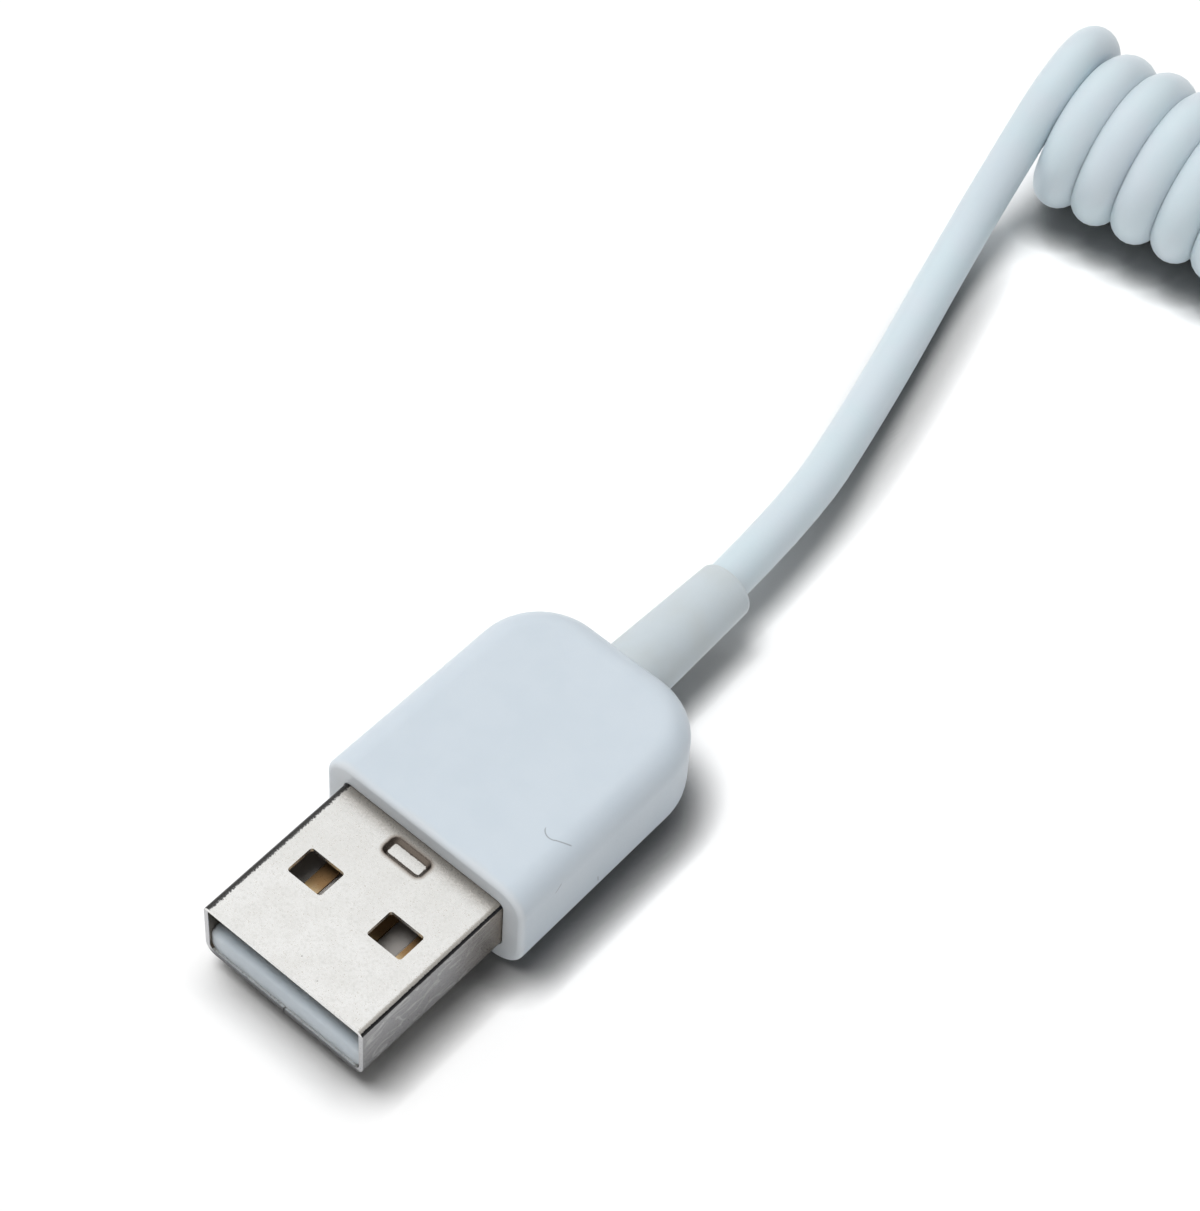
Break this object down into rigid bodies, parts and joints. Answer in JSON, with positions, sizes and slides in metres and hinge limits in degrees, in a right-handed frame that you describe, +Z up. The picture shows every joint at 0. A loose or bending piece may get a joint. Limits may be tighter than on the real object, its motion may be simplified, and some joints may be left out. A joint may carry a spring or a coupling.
{
  "type": "coiled usb extension cable",
  "caption": "Coiled extension cable, with a flat metal-shelled plug, a straight lead, a tight coil of cord and a moulded socket at its far end.",
  "frame": {"origin": "centre of the plug housing's underside, on the surface that the cable lies on", "axes": "+Z up; +X to the viewer's right and +Y away from the viewer in the picture; the plug's cord leaves it 50 degrees from +X towards +Y"},
  "size_m": [0.1294, 0.0757, 0.0111],
  "materials": {
    "nickel_shell": "satin nickel plate",
    "plug_insulator": "moulded, blue grey",
    "socket_insulator": "moulded, blue grey",
    "gold_contact": "gold flash",
    "core_black": "insulated core",
    "core_green": "insulated core",
    "core_white": "insulated core",
    "core_red": "insulated core",
    "inner_moulding": "natural, stiff",
    "crimp_metal": "plain",
    "housing_plastic": "soft sheen, bluish white",
    "relief_plastic": "matt, greyish white",
    "cord_sheath": "soft sheen, bluish white"
  },
  "bodies": {
    "root": {"plug_shell": "nickel_shell", "plug_tongue": "plug_insulator", "plug_contact_ground": "gold_contact", "plug_core_black": "core_black", "plug_contact_data_plus": "gold_contact", "plug_core_green": "core_green", "plug_contact_data_minus": "gold_contact", "plug_core_white": "core_white", "plug_contact_power": "gold_contact", "plug_core_red": "core_red", "plug_inner_mould": "inner_moulding", "plug_crimp": "crimp_metal", "plug_housing": "housing_plastic", "plug_strain_relief": "relief_plastic", "socket_shell": "nickel_shell", "socket_tongue": "socket_insulator", "socket_contact_ground": "gold_contact", "socket_core_black": "core_black", "socket_contact_data_plus": "gold_contact", "socket_core_green": "core_green", "socket_contact_data_minus": "gold_contact", "socket_core_white": "core_white", "socket_contact_power": "gold_contact", "socket_core_red": "core_red", "socket_inner_mould": "inner_moulding", "socket_crimp": "crimp_metal", "socket_housing": "housing_plastic", "socket_strain_relief": "relief_plastic", "plug_lead": "cord_sheath", "coil": "cord_sheath", "socket_lead": "cord_sheath"}
  },
  "joints": []
}
